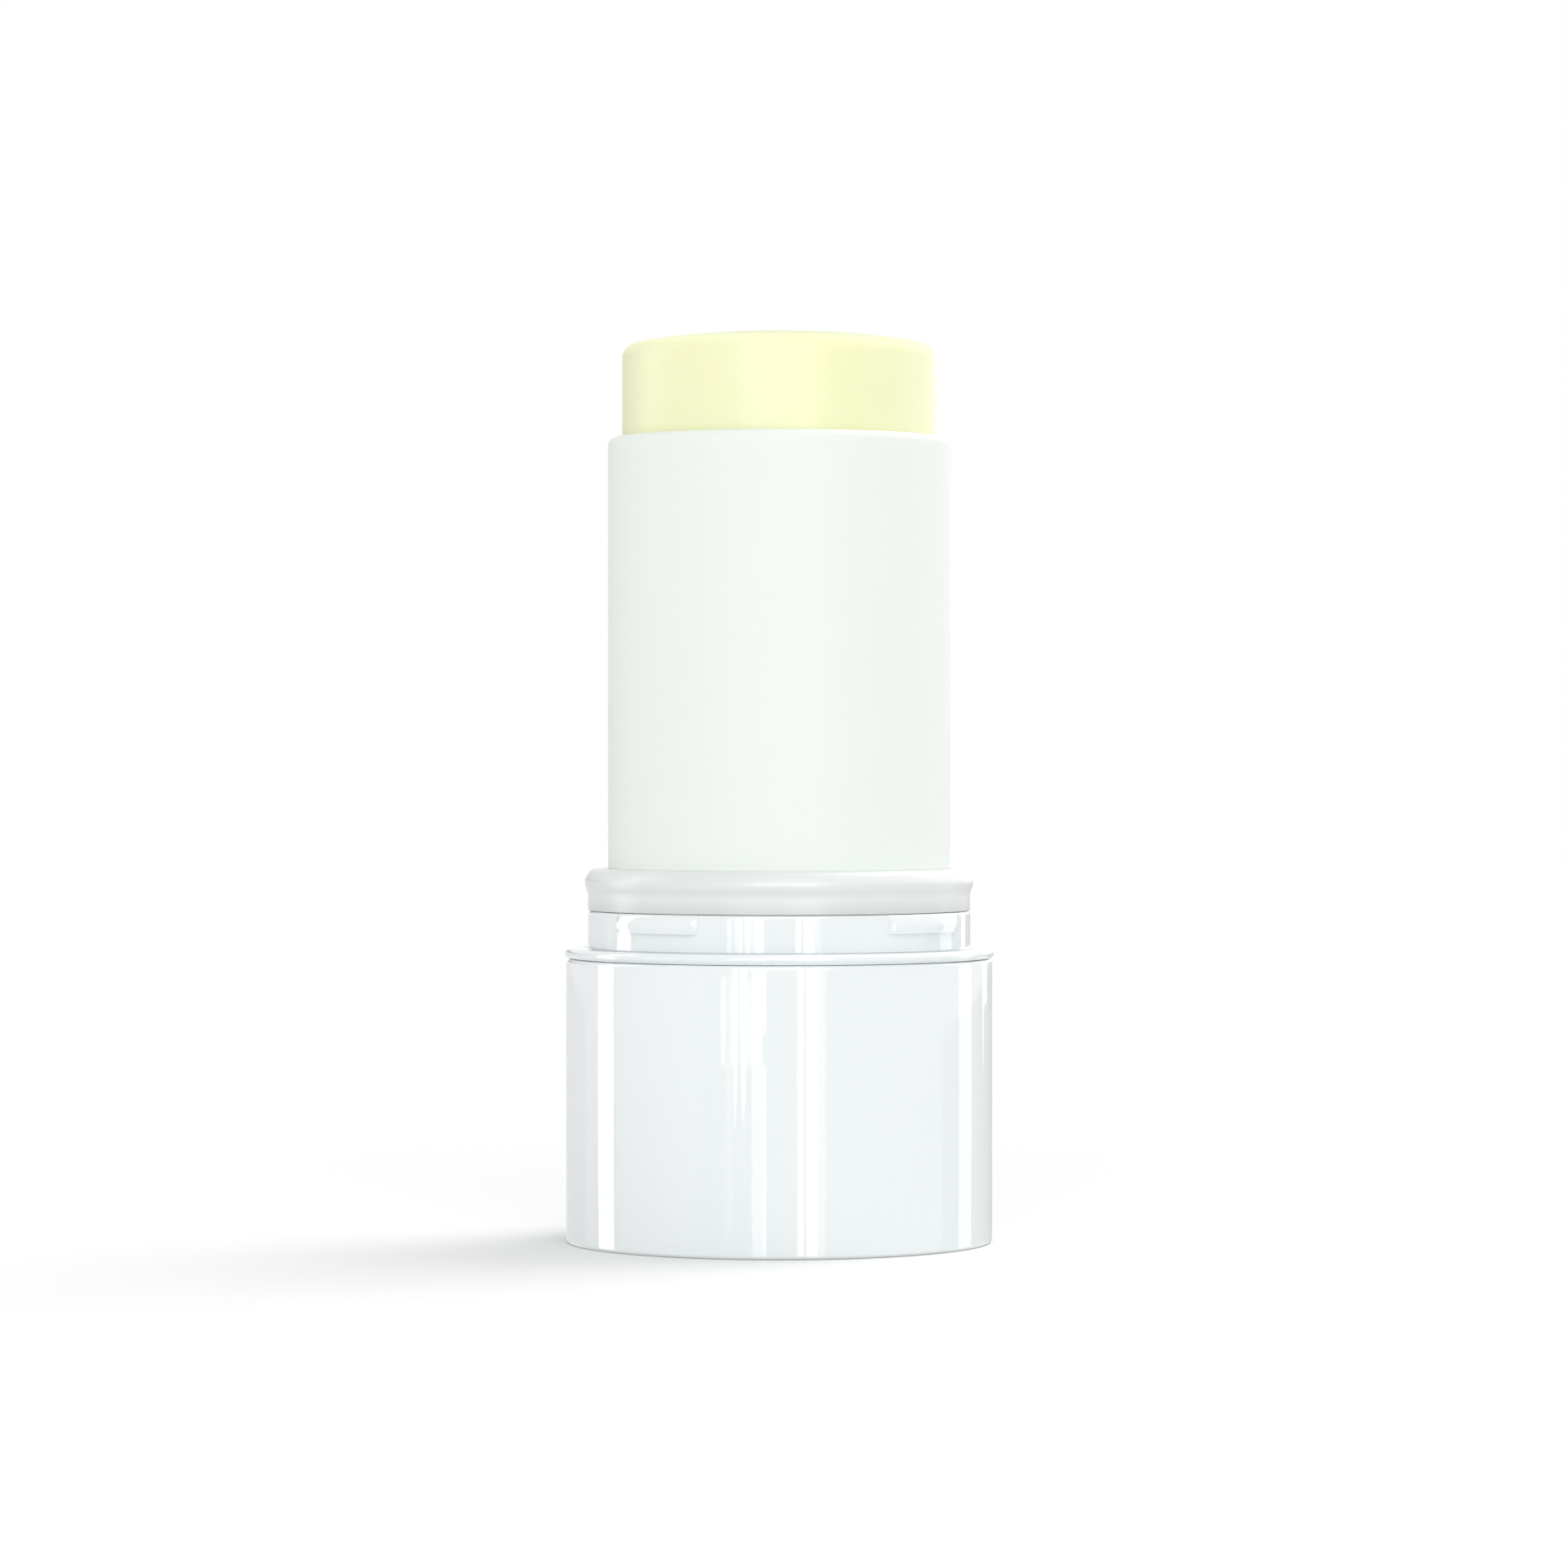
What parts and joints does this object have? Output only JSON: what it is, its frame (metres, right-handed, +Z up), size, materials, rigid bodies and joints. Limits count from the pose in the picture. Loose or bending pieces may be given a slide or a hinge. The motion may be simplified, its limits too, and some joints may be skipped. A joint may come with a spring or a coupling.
{
  "type": "sunscreen stick",
  "caption": "Round twist-up sunscreen stick with its cap off: glossy base, lugged neck, beaded collar, frosted barrel and a domed pale yellow stick that a screw spindle raises.",
  "frame": {"origin": "centre of the foot ring, on the surface that the stick stands on", "axes": "+Z up along the barrel, -Y towards the front, as pictured"},
  "size_m": [0.0332, 0.0332, 0.0703],
  "materials": {
    "gloss_white": "high gloss, slightly cool white",
    "satin_white": "satin white",
    "frost_white": "fine matte, frosted white",
    "sunscreen": "smooth wax, pale lemon yellow",
    "natural_acetal": "natural, as moulded",
    "silicone": "soft, translucent white",
    "spring_steel": "bright rolled strip"
  },
  "bodies": {
    "base": {"base_shell": "gloss_white", "shoulder_ring": "gloss_white", "neck_sleeve": "gloss_white", "drag_ring": "silicone", "spindle": "natural_acetal", "spindle_seal": "silicone", "spindle_clip": "spring_steel", "thrust_washer": "natural_acetal"},
    "barrel": {"barrel": "frost_white", "seal_collar": "satin_white"},
    "elevator": {"elevator": "frost_white", "sunscreen_stick": "sunscreen"}
  },
  "joints": [
    {"name": "barrel_twist", "type": "hinge", "parent": "base", "child": "barrel", "pos_m": [0, 0, 0.0256], "axis": [0, 0, 1], "range_deg": [-450, 1440]},
    {"name": "elevator_lift", "type": "slide", "parent": "barrel", "child": "elevator", "axis": [0, 0, 1], "range_m": [-0.01, 0.032]}
  ],
  "couplings": [
    {"joint": "barrel_twist", "follows": "elevator_lift", "rad_per_m": 785.4}
  ]
}
